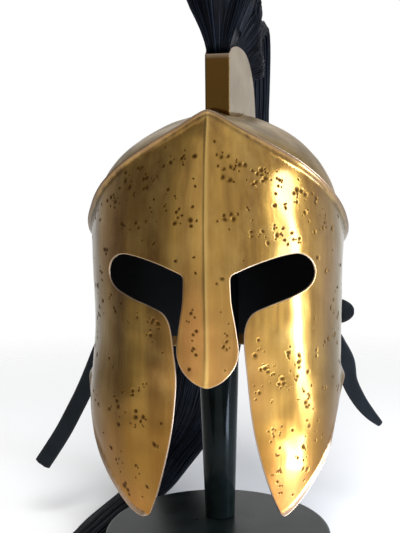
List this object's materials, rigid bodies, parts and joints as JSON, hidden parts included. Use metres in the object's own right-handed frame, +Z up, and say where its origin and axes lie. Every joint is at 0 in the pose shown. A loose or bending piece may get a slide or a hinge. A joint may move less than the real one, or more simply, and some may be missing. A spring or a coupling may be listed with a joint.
{
  "type": "corinthian helmet on stand",
  "caption": "Aged brass Corinthian helmet with nasal, cheek pieces, horsehair crest and tail, and leather chin straps, on a gloss black disc stand.",
  "frame": {"origin": "middle of the underside of the stand's disc", "axes": "+Z up, the helmet looks along -Y, +X to the right of someone who looks at its face"},
  "size_m": [0.3344, 0.299, 0.5419],
  "materials": {
    "brass": "aged and polished in streaks, with dark round pits, copper-coloured wear and bright edges",
    "crown_brass": "duller, grey-brown tarnish with soft satin gloss",
    "hair": "blue-black horsehair in locks, with a soft gloss along the strands",
    "lining": "thin matt black leather in sewn panels",
    "strap_leather": "smooth black-brown leather with worn edges",
    "stand_black": "high-gloss black lacquer"
  },
  "bodies": {
    "root": {"face_shell": "brass", "skull_dome": "crown_brass", "crest_box": "crown_brass", "plume": "hair", "liner": "lining", "strap_left": "strap_leather", "strap_right": "strap_leather", "ear_left": "strap_leather", "ear_right": "strap_leather", "stand_base": "stand_black", "stand_post": "stand_black", "stand_block": "stand_black"}
  },
  "joints": []
}
